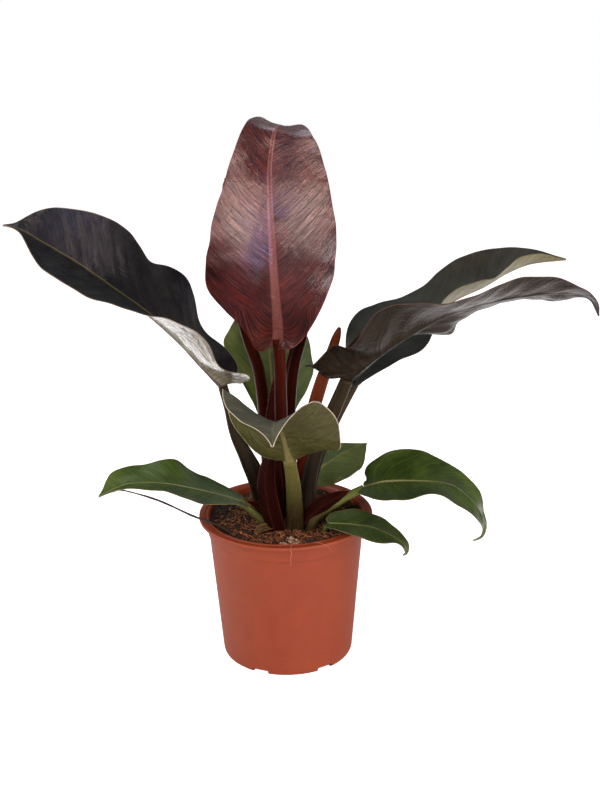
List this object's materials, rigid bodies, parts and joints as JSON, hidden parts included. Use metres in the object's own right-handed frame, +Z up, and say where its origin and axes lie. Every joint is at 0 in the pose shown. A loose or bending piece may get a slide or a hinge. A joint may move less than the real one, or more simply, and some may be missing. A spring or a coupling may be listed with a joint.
{
  "type": "potted philodendron plant",
  "caption": "Bushy indoor aroid with large dark glossy blades on long red stalks, standing in a round tapered plastic pot with a flat lip and drain slots.",
  "frame": {"origin": "centre of the pot's flat bottom, on the pot's axis", "axes": "+Z up along the pot's axis, -Y towards the viewer of the picture, +X to the viewer's right"},
  "size_m": [0.5356, 0.3928, 0.5272],
  "materials": {
    "pot_plastic": "satin",
    "potting_soil": "matte",
    "stem_tissue": "matte",
    "leaf_bronze": "satin",
    "leaf_dark": "satin",
    "leaf_olive": "satin",
    "leaf_green": "satin",
    "petiole_maroon": "satin",
    "petiole_dark": "satin",
    "petiole_green": "satin",
    "sheath_maroon": "satin",
    "new_leaf_red": "satin",
    "root_brown": "matte"
  },
  "bodies": {
    "root": {"pot": "pot_plastic", "soil": "potting_soil", "stem": "stem_tissue", "leaf_top_blade": "leaf_bronze", "leaf_top_petiole": "petiole_maroon", "leaf_left_blade": "leaf_dark", "leaf_left_petiole": "petiole_dark", "leaf_rear_right_blade": "leaf_dark", "leaf_rear_right_petiole": "petiole_dark", "leaf_front_right_blade": "leaf_dark", "leaf_front_right_petiole": "petiole_dark", "leaf_front_blade": "leaf_olive", "leaf_front_petiole": "petiole_green", "leaf_rear_green_blade": "leaf_green", "leaf_rear_green_petiole": "petiole_green", "leaf_low_left_blade": "leaf_green", "leaf_low_left_petiole": "petiole_green", "leaf_low_right_blade": "leaf_green", "leaf_low_right_petiole": "petiole_green", "leaf_small_right_blade": "leaf_green", "leaf_small_right_petiole": "petiole_green", "leaf_rear_low_blade": "leaf_green", "leaf_rear_low_petiole": "petiole_green", "leaf_back_left_blade": "leaf_dark", "leaf_back_left_petiole": "petiole_maroon", "leaf_back_right_blade": "leaf_dark", "leaf_back_right_petiole": "petiole_maroon", "rolled_new_leaf": "new_leaf_red", "centre_sheath": "sheath_maroon", "front_sheath": "sheath_maroon", "aerial_root": "root_brown"}
  },
  "joints": []
}
